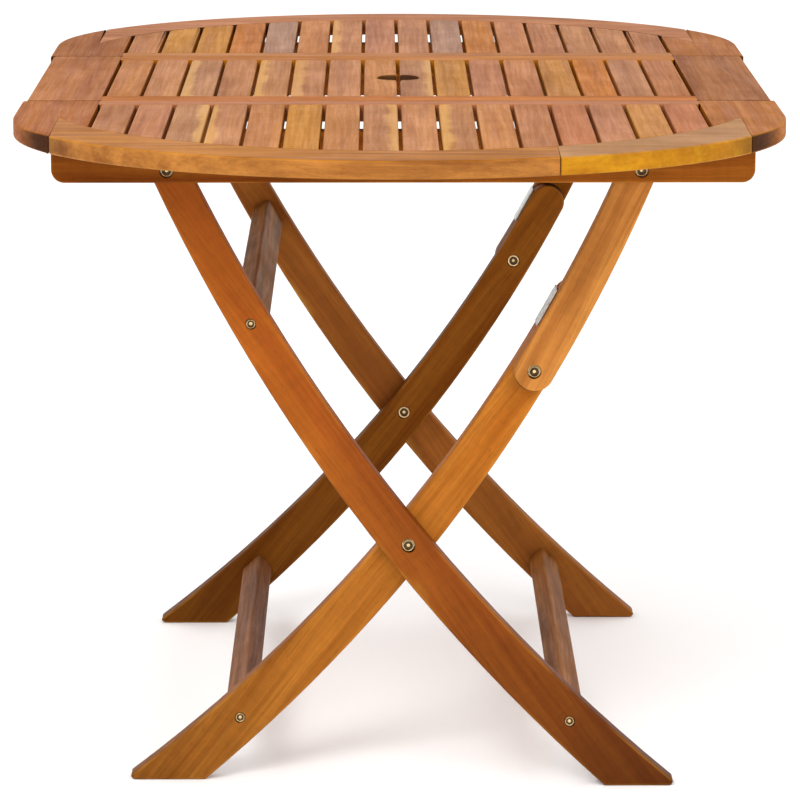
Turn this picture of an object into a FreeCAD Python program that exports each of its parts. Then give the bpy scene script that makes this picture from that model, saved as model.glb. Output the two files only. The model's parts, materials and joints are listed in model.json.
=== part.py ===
"""Folding picnic table with an oval slatted top and two knee-jointed X frames.

Millimetres, +Z up, X across the top, front towards -Y, origin on the floor under the top's centre.
"""
import math
import os

import FreeCAD
import Part

SIZES = [
    ("table_height", 750, "floor to tabletop"),
    ("top_width", 812, "middle panel across"),
    ("end_width", 820, "end panels across, a little wider"),
    ("top_length", 1360, "over both bowed ends"),
    ("end_depth", 353, "length of each half-oval end"),
    ("top_thick", 19, "boards of the top"),
    ("mid_length", 414, "middle panel"),
    ("seam", 2, "gap between two panels"),
    ("mid_rail", 37, "rails of the middle panel"),
    ("inner_rail", 32, "straight rails of the end panels"),
    ("end_board_x", 326, "inner edge of the end boards"),
    ("rail_end_x", 361, "half length of a bow rail"),
    ("rail_joint_x", 158, "butt joint in the front bow rail"),
    ("bow_inner_rad", 380, "inner edge of a bow rail"),
    ("bow_inner_y", 227, "centre of that edge from mid table"),
    ("slat_pitch", 40.5, ""),
    ("slat_gap", 4, ""),
    ("pole_rad", 25, "parasol hole"),
    ("front_apron_length", 753, ""),
    ("rear_apron_length", 640, "kept under the rear bow"),
    ("front_apron_height", 56, ""),
    ("rear_apron_height", 65, "no light shows past it through the middle gaps"),
    ("apron_thick", 20, ""),
    ("apron_corner", 14, "round of the lower corners"),
    ("frame_x", 4, "the leg frames sit this far to the right"),
    ("front_y", -316, "outer face of the front apron"),
    ("rear_y", 523, "outer face of the rear apron"),
    ("layer_gap", 1, "washer gap between apron and legs"),
    ("leg_thick", 26, ""),
    ("leg_width", 46, "half way up"),
    ("leg_taper", 36, "how far the two edge arcs are shifted apart"),
    ("outer_arc_rad", 2054.3, "centreline of the outer legs"),
    ("outer_arc_x", 1615.5, ""),
    ("outer_arc_z", 1549.9, ""),
    ("inner_arc_rad", 1751, "centreline of inner legs and links"),
    ("inner_arc_x", -1355.9, ""),
    ("inner_arc_z", 1364.9, ""),
    ("pivot_z", 688, "both pivots in the aprons"),
    ("cross_z", 272, "where the legs cross"),
    ("knee_z", 465, ""),
    ("knee_overlap", 85, "inner leg above the knee, to its end centre"),
    ("upper_bar_z", 518, "upper stretcher of the outer legs"),
    ("outer_bar_z", 73.5, "lower stretcher of the outer legs"),
    ("inner_bar_z", 71, "lower stretcher of the inner legs"),
    ("bar_long", 36, "upper stretcher along the leg"),
    ("bar_short", 24, ""),
    ("foot_bar", 30, "lower stretchers along the leg"),
    ("bolt_rad", 4, "pivot bolts"),
    ("bolt_hole_rad", 4.1, ""),
    ("head_rad", 6.3, ""),
    ("head_high", 3.5, ""),
    ("head_sink", 0.8, "head below the wood"),
    ("dish_rad", 4.4, "dish in a bolt head"),
    ("dish_deep", 1.3, ""),
    ("socket_rad", 2.6, "hexagon socket"),
    ("socket_deep", 2.8, ""),
    ("head_overlap", 0.5, "shank into head"),
    ("recess_rad", 7.5, "counterbore"),
    ("recess_deep", 5.5, ""),
    ("washer_rad", 7.2, ""),
    ("barrel_rad", 5.5, "barrel nuts"),
    ("barrel_hole_rad", 5.6, ""),
    ("flange_thick", 3.2, "closed end of a barrel nut"),
    ("nut_gap", 0.3, ""),
    ("nut_high", 5, ""),
    ("small_rad", 3, "stretcher bolts"),
    ("small_hole_rad", 3.1, ""),
    ("small_head_rad", 5.2, ""),
    ("small_head_high", 3.2, ""),
    ("small_dish_rad", 3.6, ""),
    ("small_seat_deep", 4, ""),
    ("small_bolt_into", 36, "into a stretcher"),
    ("small_hole_into", 40, ""),
    ("small_recess_rad", 5.7, ""),
    ("plate_long", 45, "stop plates"),
    ("plate_thick", 2, ""),
    ("plate_gap", 0.3, "plate to wood"),
    ("plate_inset", 10, "plate edge from the outer faces"),
    ("plate_up", 67, "middle of a plate above the knee"),
    ("plate_screw_rad", 1.6, ""),
    ("plate_screw_long", 20, ""),
    ("plate_screw_at", 13, "from the middle of a plate"),
    ("batten_x", 310, ""),
    ("batten_wide", 40, ""),
    ("batten_high", 22, ""),
    ("batten_screw_rad", 2, ""),
    ("batten_screw_sink", 3, "countersink"),
    ("batten_screw_low", 0.5, "head below the batten's face"),
    ("batten_screw_into", 12, "into a rail of the top"),
    ("floor_reach", 600, "block that trims the feet"),
    ("floor_deep", 120, ""),
    ("foot_past", 1.2, "degrees of leg past the floor before trimming"),
    ("toe_cut", 8, "blunted toe of a foot"),
    ("flange_seat", 4, "recess of a barrel nut's flange"),
]

doc = FreeCAD.newDocument("picnic_table")
sheet = doc.addObject("Spreadsheet::Sheet", "Sizes")
for row, (alias, number, note) in enumerate(SIZES, start=1):
    sheet.set("A%d" % row, alias)
    sheet.set("B%d" % row, str(number))
    sheet.set("C%d" % row, note)
    sheet.setAlias("B%d" % row, alias)
doc.recompute()

Vec = FreeCAD.Vector
Rot = FreeCAD.Rotation
ACROSS = Rot(Vec(1, 0, 0), 90)
nodes = []


def val(alias):
    """One number of the sheet."""
    return float(sheet.get(alias))


def bind(obj, **formulas):
    """Tie properties of an object to the sheet; words in a formula are sheet names."""
    for prop, formula in formulas.items():
        words = []
        for word in formula.split():
            words.append("Sizes." + word if word[0].isalpha() else word)
        obj.setExpression(prop, " ".join(words))
    return obj


def box(at, **formulas):
    """A block with its low corner at a point."""
    obj = bind(doc.addObject("Part::Box", "Block"), **formulas)
    obj.Placement.Base = Vec(*at)
    return obj


def post(x, y, z, **formulas):
    """A cylinder standing on a point."""
    obj = bind(doc.addObject("Part::Cylinder", "Post"), **formulas)
    obj.Placement.Base = Vec(x, y, z)
    return obj


def rod(x, z, y_low, y_high, radius, start=0.0, span=360.0):
    """A cylinder, or a slice of one, lying along Y between two depths."""
    obj = bind(doc.addObject("Part::Cylinder", "Rod"), Radius=radius)
    obj.Height = y_high - y_low
    obj.Angle = span
    obj.Placement = FreeCAD.Placement(Vec(x, y_high, z), ACROSS * Rot(Vec(0, 0, 1), start))
    return obj


def cut(base, tool):
    obj = doc.addObject("Part::Cut", "Cut")
    obj.Base = base
    obj.Tool = tool
    return obj


def common(base, tool):
    obj = doc.addObject("Part::Common", "Shared")
    obj.Base = base
    obj.Tool = tool
    return obj


def fuse(*shapes):
    obj = doc.addObject("Part::MultiFuse", "Joined")
    obj.Shapes = list(shapes)
    obj.Refine = True
    return obj


def group(shapes):
    obj = doc.addObject("Part::Compound", "Group")
    obj.Links = list(shapes)
    return obj


def node(name, obj):
    """Mark an object as a finished sub-part."""
    obj.Label = name
    nodes.append(obj)
    return obj


# ---------------------------------------------------------------- tabletop

HALF_W = val("top_width") / 2
END_W = val("end_width") / 2
HALF_L = val("top_length") / 2
UNDER_Z = val("table_height") - val("top_thick")
STRAIGHT_Y = HALF_L - val("end_depth")
MID_Y = val("mid_length") / 2
PANEL_Y = MID_Y + val("seam")
BOARD_X = val("end_board_x")


def plate(x_low, x_high, y_low, y_high):
    """A board of the top between two x and two y."""
    obj = box((x_low, y_low, UNDER_Z), Height="top_thick")
    obj.Length = x_high - x_low
    obj.Width = y_high - y_low
    return obj


def between(side, y_one, y_two):
    """Low and high y of a stretch measured outwards on the front (-1) or rear (+1) side."""
    return sorted((side * y_one, side * y_two))


def oval_end(side):
    """Outline of one end panel: a half oval and the straight part behind it."""
    ring = bind(
        doc.addObject("Part::Ellipse", "Oval"),
        MajorRadius="end_width / 2",
        MinorRadius="end_depth",
    )
    ring.Placement.Base = Vec(0, side * STRAIGHT_Y, UNDER_Z)
    solid = doc.addObject("Part::Extrusion", "OvalPlate")
    solid.Base = ring
    solid.Solid = True
    solid.Dir = Vec(0, 0, 1)
    bind(solid, LengthFwd="top_thick")
    outer = common(solid, plate(-END_W, END_W, *between(side, STRAIGHT_Y, HALF_L)))
    return fuse(outer, plate(-END_W, END_W, *between(side, PANEL_Y, STRAIGHT_Y)))


def bow_cutter(side):
    """Cylinder whose edge is the inner edge of a bow rail."""
    return post(0, side * val("bow_inner_y"), UNDER_Z, Radius="bow_inner_rad", Height="top_thick")


def bow_rail(side, x_low, x_high):
    block = plate(x_low, x_high, *between(side, val("bow_inner_y"), HALF_L))
    return cut(common(oval_end(side), block), bow_cutter(side))


def end_board(side, hand):
    """Outer board of an end panel; hand is -1 at the left and +1 at the right."""
    low, high = sorted((hand * BOARD_X, hand * END_W))
    board = common(oval_end(side), plate(low, high, *between(side, PANEL_Y, HALF_L)))
    low, high = sorted((hand * BOARD_X, hand * val("rail_end_x")))
    corner = plate(low, high, *between(side, val("bow_inner_y"), HALF_L))
    return cut(board, cut(corner, bow_cutter(side)))


def slat_edges():
    """x of the two edges of each of the sixteen slats."""
    edges = []
    count = round(BOARD_X / val("slat_pitch"))
    for index in range(-count, count):
        left = index * val("slat_pitch") + val("slat_gap") / 2
        edges.append((left, left + val("slat_pitch") - val("slat_gap")))
    return edges


def end_slats(side):
    start = PANEL_Y + val("inner_rail")
    boards = [plate(low, high, *between(side, start, HALF_L)) for low, high in slat_edges()]
    return common(group(boards), bow_cutter(side))


def screwed_rail(low, high):
    """Rail across the slat ends, with a pilot hole for each batten's screw."""
    rail = plate(-BOARD_X, BOARD_X, low, high)
    for hand in (-1, 1):
        hole = post(hand * val("batten_x"), (low + high) / 2, UNDER_Z,
                    Radius="batten_screw_rad + 0.1", Height="batten_screw_into + 1")
        rail = cut(rail, hole)
    return rail


def make_end_panel(word, side):
    limit = val("rail_end_x")
    if side < 0:
        joint = val("rail_joint_x")
        node(word + "_bow_rail", bow_rail(side, -limit, joint))
        node(word + "_bow_rail_end", bow_rail(side, joint, limit))
    else:
        node(word + "_bow_rail", bow_rail(side, -limit, limit))
    rail = between(side, PANEL_Y, PANEL_Y + val("inner_rail"))
    node(word + "_inner_rail", screwed_rail(*rail))
    node(word + "_end_board_left", end_board(side, -1))
    node(word + "_end_board_right", end_board(side, 1))
    node(word + "_slats", end_slats(side))


def make_mid_panel():
    inner = MID_Y - val("mid_rail")
    node("mid_rail_front", screwed_rail(-MID_Y, -inner))
    node("mid_rail_rear", screwed_rail(inner, MID_Y))
    node("mid_end_board_left", plate(-HALF_W, -BOARD_X, -MID_Y, MID_Y))
    node("mid_end_board_right", plate(BOARD_X, HALF_W, -MID_Y, MID_Y))
    plain = []
    holed = []
    for low, high in slat_edges():
        board = plate(low, high, -inner, inner)
        if abs(low + high) < 2 * val("slat_pitch"):
            hole = post(0, 0, UNDER_Z, Radius="pole_rad", Height="top_thick")
            holed.append(cut(board, hole))
        else:
            plain.append(board)
    node("mid_slats", group(plain))
    node("mid_hole_slats", group(holed))


# ---------------------------------------------------------------- leg frames

LEG = val("leg_thick")
LEG_AT = val("apron_thick") + val("layer_gap")
INNER_AT = LEG_AT + LEG + val("layer_gap")


def depths(side, near, far):
    """y range of a stretch measured inwards from the outer face of an apron."""
    if side < 0:
        return (val("front_y") + near, val("front_y") + far)
    return (val("rear_y") - far, val("rear_y") - near)


class Curve:
    """Centreline arc of a leg with its two slightly shifted edge arcs."""

    def __init__(self, word, hand):
        self.word = word
        self.hand = hand
        self.x = val(word + "_arc_x")
        self.z = val(word + "_arc_z")
        self.rad = val(word + "_arc_rad")
        self.mid = self.angle(val("table_height") / 2)

    def at(self, z):
        """Point of the centreline at a height."""
        run = math.sqrt(self.rad ** 2 - (self.z - z) ** 2)
        return self.x + self.hand * run, z

    def angle(self, z):
        x, z = self.at(z)
        return math.degrees(math.atan2(z - self.z, x - self.x))

    def point(self, angle, offset=0.0):
        """Point at an angle, moved outwards from the centreline."""
        turn = math.radians(angle)
        reach = self.rad + offset
        return self.x + reach * math.cos(turn), self.z + reach * math.sin(turn)

    def half(self, angle):
        """Half width of the leg at an angle; wider towards the foot."""
        lean = self.hand * math.sin(math.radians(angle - self.mid))
        return (val("leg_width") - val("leg_taper") * lean) / 2

    def edge_centre(self, share):
        """Centre of an edge arc, shifted along the leg."""
        turn = math.radians(self.mid)
        step = self.hand * share * val("leg_taper") / 2
        return self.x - step * math.sin(turn), self.z + step * math.cos(turn)

    def bar(self, side, at, low, high):
        """A piece of leg between two angles, square at both ends."""
        y_low, y_high = depths(side, at, at + LEG)
        start = min(low, high)
        span = abs(high - low)
        out_x, out_z = self.edge_centre(-1)
        in_x, in_z = self.edge_centre(1)
        arc = self.word + "_arc_rad"
        slab = rod(self.x, self.z, y_low, y_high, arc + " + leg_width", start, span)
        outer = rod(out_x, out_z, y_low, y_high, arc + " + leg_width / 2")
        inner = rod(in_x, in_z, y_low, y_high, arc + " - leg_width / 2")
        return cut(common(slab, outer), inner)

    def cap(self, side, at, angle):
        """Round end of a leg."""
        x, z = self.point(angle)
        y_low, y_high = depths(side, at, at + LEG)
        obj = rod(x, z, y_low, y_high, "leg_width / 2")
        obj.setExpression("Radius", None)
        obj.Radius = self.half(angle)
        return obj


OUTER = Curve("outer", -1)
INNER = Curve("inner", 1)
PIVOT_LEFT = OUTER.at(val("pivot_z"))
PIVOT_RIGHT = INNER.at(val("pivot_z"))
CROSS = ((OUTER.at(val("cross_z"))[0] + INNER.at(val("cross_z"))[0]) / 2, val("cross_z"))
KNEE = INNER.at(val("knee_z"))
UPPER_BAR = OUTER.at(val("upper_bar_z"))
FOOT_BAR_OUTER = OUTER.at(val("outer_bar_z"))
FOOT_BAR_INNER = INNER.at(val("inner_bar_z"))
SIDES = (("front", -1), ("rear", 1))
PLATE_SCREWS = (-val("plate_screw_at"), val("plate_screw_at"))
SCREW_SLACK = 0.1


def drill(base, side, at, spot, radius, near, far):
    """Bore a hole across the legs between two depths below a face."""
    y_low, y_high = depths(side, at + near, at + far)
    return cut(base, rod(spot[0], spot[1], y_low, y_high, radius))


def bolt_seat(base, side, at, spot, depth):
    """Counterbore and clearance hole of a pivot bolt."""
    base = drill(base, side, at, spot, "recess_rad", 0, val("recess_deep"))
    return drill(base, side, at, spot, "bolt_hole_rad", 0, depth)


def small_seat(base, side, at, spot):
    base = drill(base, side, at, spot, "small_recess_rad", 0, val("small_seat_deep"))
    return drill(base, side, at, spot, "small_hole_rad", 0, LEG)


def below_floor(side, at):
    y_low, y_high = depths(side, at, at + LEG)
    corner = (-val("floor_reach"), y_low, -val("floor_deep"))
    return box(corner, Width="leg_thick", Length="floor_reach * 2", Height="floor_deep")


def toe_block(curve, side, at):
    """Block that blunts the sharp toe of a foot."""
    mid_x, mid_z = curve.edge_centre(1)
    reach = curve.rad - val("leg_width") / 2
    toe = mid_x + curve.hand * math.sqrt(reach ** 2 - mid_z ** 2)
    start = toe + curve.hand * val("toe_cut")
    if curve.hand > 0:
        start -= val("floor_deep")
    y_low, y_high = depths(side, at, at + LEG)
    return box((start, y_low, 0), Width="leg_thick", Length="floor_deep", Height="floor_deep")


def foot_angle(curve):
    """A little past the floor, so the foot can be cut flat."""
    return curve.angle(0) - curve.hand * val("foot_past")


def outer_leg(side):
    top = OUTER.angle(val("pivot_z"))
    leg = OUTER.bar(side, LEG_AT, foot_angle(OUTER), top)
    leg = cut(cut(leg, below_floor(side, LEG_AT)), toe_block(OUTER, side, LEG_AT))
    leg = fuse(leg, OUTER.cap(side, LEG_AT, top))
    leg = drill(leg, side, LEG_AT, PIVOT_LEFT, "bolt_hole_rad", 0, LEG)
    leg = bolt_seat(leg, side, LEG_AT, CROSS, LEG)
    leg = small_seat(leg, side, LEG_AT, UPPER_BAR)
    return small_seat(leg, side, LEG_AT, FOOT_BAR_OUTER)


def inner_leg(side):
    lift = math.degrees(val("knee_overlap") / val("inner_arc_rad"))
    top = INNER.angle(val("knee_z")) + lift
    leg = INNER.bar(side, INNER_AT, foot_angle(INNER), top)
    leg = cut(cut(leg, below_floor(side, INNER_AT)), toe_block(INNER, side, INNER_AT))
    leg = fuse(leg, INNER.cap(side, INNER_AT, top))
    for spot in (CROSS, KNEE):
        leg = drill(leg, side, INNER_AT, spot, "barrel_hole_rad", 0, LEG)
        leg = drill(leg, side, INNER_AT, spot, "recess_rad", LEG - val("flange_seat"), LEG)
    leg = small_seat(leg, side, INNER_AT, FOOT_BAR_INNER)
    for along in PLATE_SCREWS:
        leg = cut(leg, plate_screw(side, along, val("plate_screw_long"), SCREW_SLACK))
    return leg


def knee_link(side):
    low = INNER.angle(val("knee_z"))
    high = INNER.angle(val("pivot_z"))
    link = INNER.bar(side, LEG_AT, low, high)
    link = fuse(link, INNER.cap(side, LEG_AT, low), INNER.cap(side, LEG_AT, high))
    link = drill(link, side, LEG_AT, PIVOT_RIGHT, "bolt_hole_rad", 0, LEG)
    return bolt_seat(link, side, LEG_AT, KNEE, LEG)


def stretcher(curve, height, along, near):
    """A bar between the inner faces of a pair of legs, turned with the leg."""
    x, z = curve.at(val(height))
    y_low = depths(-1, near, near)[0]
    y_high = depths(1, near, near)[0]
    obj = bind(doc.addObject("Part::Box", "Bar"), Length="bar_short", Height=along)
    obj.Width = y_high - y_low
    lean = curve.angle(val(height))
    turn = Rot(Vec(0, 1, 0), -lean)
    middle = Vec(val("bar_short") / 2, 0, val(along) / 2)
    obj.Placement = FreeCAD.Placement(Vec(x, y_low, z) - turn.multVec(middle), turn)
    for side in (-1, 1):
        hole_low, hole_high = depths(side, near, near + val("small_hole_into"))
        obj = cut(obj, rod(x, z, hole_low, hole_high, "small_hole_rad"))
    return obj


# ---------------------------------------------------------------- stop plates

PLATE_ANGLE = INNER.angle(val("knee_z")) + math.degrees(val("plate_up") / val("inner_arc_rad"))


def plate_seat():
    """Middle of the flat seat on the leg's edge, and the way it faces in degrees."""
    reach = math.degrees(val("plate_long") / 2 / val("inner_arc_rad"))
    ends = [INNER.point(a, -INNER.half(a)) for a in (PLATE_ANGLE - reach, PLATE_ANGLE + reach)]
    (low_x, low_z), (high_x, high_z) = ends
    facing = math.degrees(math.atan2(low_x - high_x, high_z - low_z))
    return (low_x + high_x) / 2, (low_z + high_z) / 2, facing


def on_plate(along, outwards):
    """A point and the turn of something standing on the seat."""
    x, z, facing = plate_seat()
    turn = Rot(Vec(0, 1, 0), -facing)
    return Vec(x, 0, z) + turn.multVec(Vec(-outwards, 0, along)), turn


def plate_screw(side, along, depth, slack):
    """Screw through a stop plate into the edge of the inner leg."""
    spot, turn = on_plate(along, val("plate_gap") + val("plate_thick"))
    spot.y = sum(depths(side, INNER_AT, INNER_AT + LEG)) / 2
    obj = doc.addObject("Part::Cylinder", "PlateScrew")
    bind(obj, Radius="plate_screw_rad")
    if slack:
        bind(obj, Radius="plate_screw_rad + %g" % slack)
    obj.Height = depth + slack
    obj.Placement = FreeCAD.Placement(spot, turn * Rot(Vec(0, 1, 0), 90))
    return obj


def stop_plate(side):
    inset = val("plate_inset")
    y_low, y_high = depths(side, LEG_AT + inset, INNER_AT + LEG - inset)
    obj = bind(doc.addObject("Part::Box", "Stop"), Length="plate_thick", Height="plate_long")
    obj.Width = y_high - y_low
    corner, turn = on_plate(-val("plate_long") / 2, val("plate_gap") + val("plate_thick"))
    corner.y = y_low
    obj.Placement = FreeCAD.Placement(corner, turn)
    for along in PLATE_SCREWS:
        obj = cut(obj, plate_screw(side, along, val("plate_screw_long"), SCREW_SLACK))
    return obj


# ---------------------------------------------------------------- fasteners

def socket(side, spot, face, way, dish):
    """Dish and hexagon socket in a head; way is +1 when the head faces outwards."""
    low, high = depths(side, *sorted((face, face + way * val("dish_deep"))))
    hollow = rod(spot[0], spot[1], low, high, dish)
    low, high = depths(side, *sorted((face, face + way * val("socket_deep"))))
    key = bind(doc.addObject("Part::Prism", "Socket"), Circumradius="socket_rad")
    key.Polygon = 6
    key.Height = high - low
    key.Placement = FreeCAD.Placement(Vec(spot[0], high, spot[1]), ACROSS)
    return fuse(hollow, key)


def bolt(side, at, spot, length, small=""):
    """Socket-head bolt sunk into a counterbore; depths are below the face."""
    top = at + val("head_sink")
    under = top + val(small + "head_high")
    head_low, head_high = depths(side, top, under)
    head = rod(spot[0], spot[1], head_low, head_high, small + "head_rad")
    shank_low, shank_high = depths(side, under - val("head_overlap"), at + length)
    shank_rad = small + "rad" if small else "bolt_rad"
    shank = rod(spot[0], spot[1], shank_low, shank_high, shank_rad)
    return cut(fuse(head, shank), socket(side, spot, top, 1, small + "dish_rad"))


def ring(side, at, spot, near, far, outer, inner):
    y_low, y_high = depths(side, at + near, at + far)
    body = rod(spot[0], spot[1], y_low, y_high, outer)
    return cut(body, rod(spot[0], spot[1], y_low, y_high, inner))


def washer(side, at, spot):
    near = val("head_sink") + val("head_high")
    return ring(side, at, spot, near, val("recess_deep"), "washer_rad", "bolt_hole_rad")


def barrel_nut(side, spot):
    """Barrel with a closed head, let into the inner leg from behind."""
    face = LEG - val("head_sink")
    floor = face - val("flange_thick")
    near = val("head_overlap")
    tube = ring(side, INNER_AT, spot, near, floor, "barrel_rad", "bolt_hole_rad")
    low, high = depths(side, INNER_AT + floor, INNER_AT + face)
    head = rod(spot[0], spot[1], low, high, "washer_rad")
    nut = fuse(tube, head)
    return cut(nut, socket(side, spot, INNER_AT + face, -1, "dish_rad"))


def end_nut(side, spot):
    """Hexagon nut on the inner face of an outer leg or link."""
    at = LEG_AT + LEG + val("nut_gap")
    y_low, y_high = depths(side, at, at + val("nut_high"))
    nut = bind(doc.addObject("Part::Prism", "Nut"), Circumradius="washer_rad")
    nut.Polygon = 6
    nut.Height = y_high - y_low
    nut.Placement = FreeCAD.Placement(Vec(spot[0], y_high, spot[1]), ACROSS)
    return cut(nut, rod(spot[0], spot[1], y_low, y_high, "bolt_hole_rad"))


# ---------------------------------------------------------------- aprons and battens

def apron(word, side):
    y_low, y_high = depths(side, 0, val("apron_thick"))
    length = word + "_apron_length"
    left = val("frame_x") - val(length) / 2
    height = word + "_apron_height"
    low = UNDER_Z - val(height)
    corner = val("apron_corner")
    upper = box((left, y_low, low + corner), Length=length, Width="apron_thick",
                Height=height + " - apron_corner")
    lower = box((left + corner, y_low, low), Length=length + " - 2 * apron_corner",
                Width="apron_thick", Height="apron_corner")
    rounds = []
    for x in (left + corner, left + val(length) - corner):
        rounds.append(rod(x, low + corner, y_low, y_high, "apron_corner"))
    board = fuse(upper, lower, *rounds)
    for spot in (PIVOT_LEFT, PIVOT_RIGHT):
        board = bolt_seat(board, side, 0, spot, val("apron_thick"))
    return board


def batten_y():
    low = val("front_y") + val("apron_thick")
    return low, val("rear_y") - val("apron_thick")


def batten_screw_spots(hand):
    """One screw in each rail at the seams."""
    end_rail = PANEL_Y + val("inner_rail") / 2
    mid_rail = MID_Y - val("mid_rail") / 2
    rows = (-end_rail, -mid_rail, mid_rail, end_rail)
    return [(hand * val("batten_x"), y) for y in rows]


def batten(hand):
    low, high = batten_y()
    corner = hand * val("batten_x") - val("batten_wide") / 2
    obj = box((corner, low, UNDER_Z - val("batten_high")), Length="batten_wide",
              Height="batten_high")
    obj.Width = high - low
    for x, y in batten_screw_spots(hand):
        hole = post(x, y, UNDER_Z - val("batten_high"), Radius="batten_screw_rad + 0.1",
                    Height="batten_high")
        sink = post(x, y, UNDER_Z - val("batten_high"), Radius="batten_screw_rad * 2 + 0.2")
        bind(sink, Height="batten_screw_sink")
        obj = cut(obj, fuse(hole, sink))
    return obj


def batten_screw(x, y):
    low = UNDER_Z - val("batten_high") + val("batten_screw_low")
    shank = post(x, y, low, Radius="batten_screw_rad",
                 Height="batten_high - batten_screw_low + batten_screw_into")
    head = post(x, y, low, Radius="batten_screw_rad * 2",
                Height="batten_screw_sink - batten_screw_low * 2")
    return fuse(shank, head)


# ---------------------------------------------------------------- assembly

def make_top():
    make_end_panel("front", -1)
    make_mid_panel()
    make_end_panel("rear", 1)
    screws = []
    for word, hand in (("left", -1), ("right", 1)):
        node("batten_" + word, batten(hand))
        screws += [batten_screw(x, y) for x, y in batten_screw_spots(hand)]
    node("batten_screws", group(screws))
    bolts = []
    washers = []
    nuts = []
    for word, side in SIDES:
        node("apron_" + word, apron(word, side))
        for spot in (PIVOT_LEFT, PIVOT_RIGHT):
            bolts.append(bolt(side, 0, spot, LEG_AT + LEG + val("nut_high")))
            washers.append(washer(side, 0, spot))
            nuts.append(end_nut(side, spot))
    node("pivot_bolts", group(bolts))
    node("pivot_washers", group(washers))
    node("pivot_nuts", group(nuts))


def make_outer_legs():
    inside = LEG_AT + LEG
    for word, side in SIDES:
        node("outer_leg_" + word, outer_leg(side))
    node("outer_upper_stretcher", stretcher(OUTER, "upper_bar_z", "bar_long", inside))
    node("outer_lower_stretcher", stretcher(OUTER, "outer_bar_z", "foot_bar", inside))
    fixings = []
    length = LEG + val("small_bolt_into")
    for _, side in SIDES:
        for spot in (UPPER_BAR, FOOT_BAR_OUTER):
            fixings.append(bolt(side, LEG_AT, spot, length, "small_"))
    node("outer_stretcher_bolts", group(fixings))
    short = LEG - val("nut_gap")
    node("cross_bolts", group([bolt(side, LEG_AT, CROSS, short) for _, side in SIDES]))
    node("cross_washers", group([washer(side, LEG_AT, CROSS) for _, side in SIDES]))


def make_inner_legs():
    inside = INNER_AT + LEG
    screws = []
    for word, side in SIDES:
        node("inner_leg_" + word, inner_leg(side))
        node("stop_plate_" + word, stop_plate(side))
        screws += [plate_screw(side, along, val("plate_screw_long"), 0) for along in PLATE_SCREWS]
    node("stop_plate_screws", group(screws))
    node("inner_stretcher", stretcher(INNER, "inner_bar_z", "foot_bar", inside))
    length = LEG + val("small_bolt_into")
    fixings = [bolt(side, INNER_AT, FOOT_BAR_INNER, length, "small_") for _, side in SIDES]
    node("inner_stretcher_bolts", group(fixings))
    node("cross_nuts", group([barrel_nut(side, CROSS) for _, side in SIDES]))


def make_links():
    for word, side in SIDES:
        node("knee_link_" + word, knee_link(side))
        node("knee_bolt_" + word, bolt(side, LEG_AT, KNEE, 2 * LEG - val("flange_seat")))
        node("knee_washer_" + word, washer(side, LEG_AT, KNEE))
        node("knee_nut_" + word, barrel_nut(side, KNEE))


def export():
    """Check every object, then write one file for each sub-part."""
    doc.recompute()
    for obj in doc.Objects:
        if "Invalid" in obj.State or "Error" in obj.State:
            raise RuntimeError("%s is not valid" % obj.Label)
        if hasattr(obj, "Shape") and (obj.Shape.isNull() or not obj.Shape.isValid()):
            raise RuntimeError("%s has no valid shape" % obj.Label)
    os.makedirs("parts", exist_ok=True)
    for obj in nodes:
        obj.Shape.exportStep("parts/%s.step" % obj.Label)
        print(obj.Label, len(obj.Shape.Solids), round(obj.Shape.Volume / 1000, 1))


make_top()
make_outer_legs()
make_inner_legs()
make_links()
export()
for title, spot in (("left pivot", PIVOT_LEFT), ("right pivot", PIVOT_RIGHT),
                    ("crossing", CROSS), ("knee", KNEE)):
    print(title, [round(number, 2) for number in spot])
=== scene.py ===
"""Looks of the folding picnic table: rounded boards, oiled wood, fittings, light and camera."""
import json
import math
import random

import bmesh
import bpy
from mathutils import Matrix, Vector
from mathutils.geometry import intersect_point_line, tessellate_polygon

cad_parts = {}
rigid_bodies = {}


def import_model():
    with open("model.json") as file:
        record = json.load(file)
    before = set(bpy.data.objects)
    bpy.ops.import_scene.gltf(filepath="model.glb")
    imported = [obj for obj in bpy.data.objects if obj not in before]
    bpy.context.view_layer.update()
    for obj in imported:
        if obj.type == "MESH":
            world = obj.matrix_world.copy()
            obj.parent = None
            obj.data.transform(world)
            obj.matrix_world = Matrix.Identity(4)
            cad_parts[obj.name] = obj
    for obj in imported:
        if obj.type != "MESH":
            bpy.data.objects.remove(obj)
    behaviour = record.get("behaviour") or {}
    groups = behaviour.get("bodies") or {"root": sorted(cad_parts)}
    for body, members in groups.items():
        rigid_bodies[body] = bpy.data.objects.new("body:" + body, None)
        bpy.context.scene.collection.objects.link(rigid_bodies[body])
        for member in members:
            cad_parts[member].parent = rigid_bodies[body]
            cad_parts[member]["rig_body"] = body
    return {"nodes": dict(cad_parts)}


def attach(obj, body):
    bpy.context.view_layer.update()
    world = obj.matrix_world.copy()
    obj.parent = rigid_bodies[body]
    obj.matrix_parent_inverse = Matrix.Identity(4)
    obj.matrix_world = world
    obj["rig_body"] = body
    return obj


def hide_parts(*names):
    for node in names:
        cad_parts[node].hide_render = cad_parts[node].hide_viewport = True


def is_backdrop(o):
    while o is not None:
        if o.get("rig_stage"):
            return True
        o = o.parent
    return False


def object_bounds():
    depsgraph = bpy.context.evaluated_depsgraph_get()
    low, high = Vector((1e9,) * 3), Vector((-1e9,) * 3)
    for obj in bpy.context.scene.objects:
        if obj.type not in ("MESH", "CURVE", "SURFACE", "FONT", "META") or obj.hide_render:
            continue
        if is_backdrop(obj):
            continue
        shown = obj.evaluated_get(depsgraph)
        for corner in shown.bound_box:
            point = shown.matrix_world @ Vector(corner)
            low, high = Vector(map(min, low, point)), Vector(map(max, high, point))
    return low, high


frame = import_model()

CAD_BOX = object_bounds()

# ------------------------------------------------------------ numbers, metres and radians

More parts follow.
